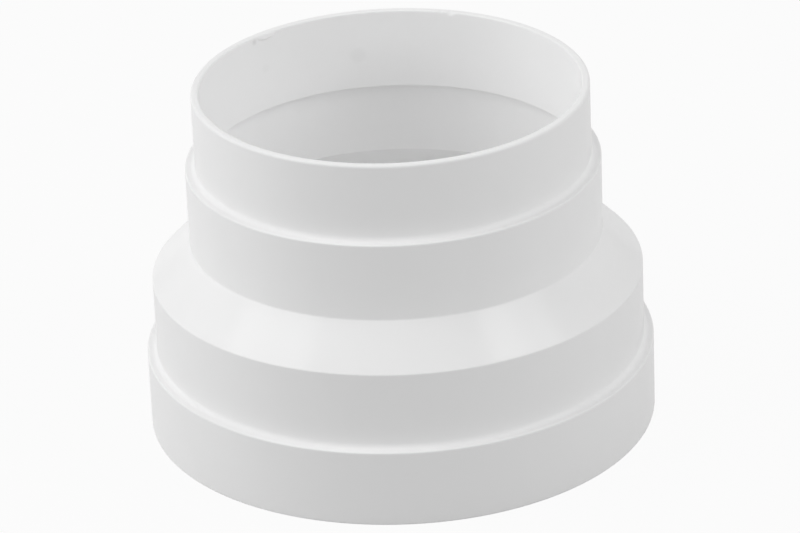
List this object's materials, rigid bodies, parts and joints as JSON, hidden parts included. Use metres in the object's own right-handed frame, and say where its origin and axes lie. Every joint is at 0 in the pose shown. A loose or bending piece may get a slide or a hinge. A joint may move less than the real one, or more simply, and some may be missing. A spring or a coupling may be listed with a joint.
{
  "type": "duct reducer",
  "caption": "Stepped round sleeve in white plastic, with a wide socket, a short cone and a narrow spigot, that joins a large round ventilation duct to a smaller one.",
  "frame": {"origin": "middle of the bottom rim, on the duct axis", "axes": "+Z along the duct axis, from the wide socket up to the narrow spigot; the part is round, so X and Y are any two directions square to it"},
  "size_m": [0.13, 0.13, 0.09],
  "materials": {
    "white_plastic": "satin, as moulded"
  },
  "bodies": {
    "root": {"reducer_body": "white_plastic"}
  },
  "joints": []
}
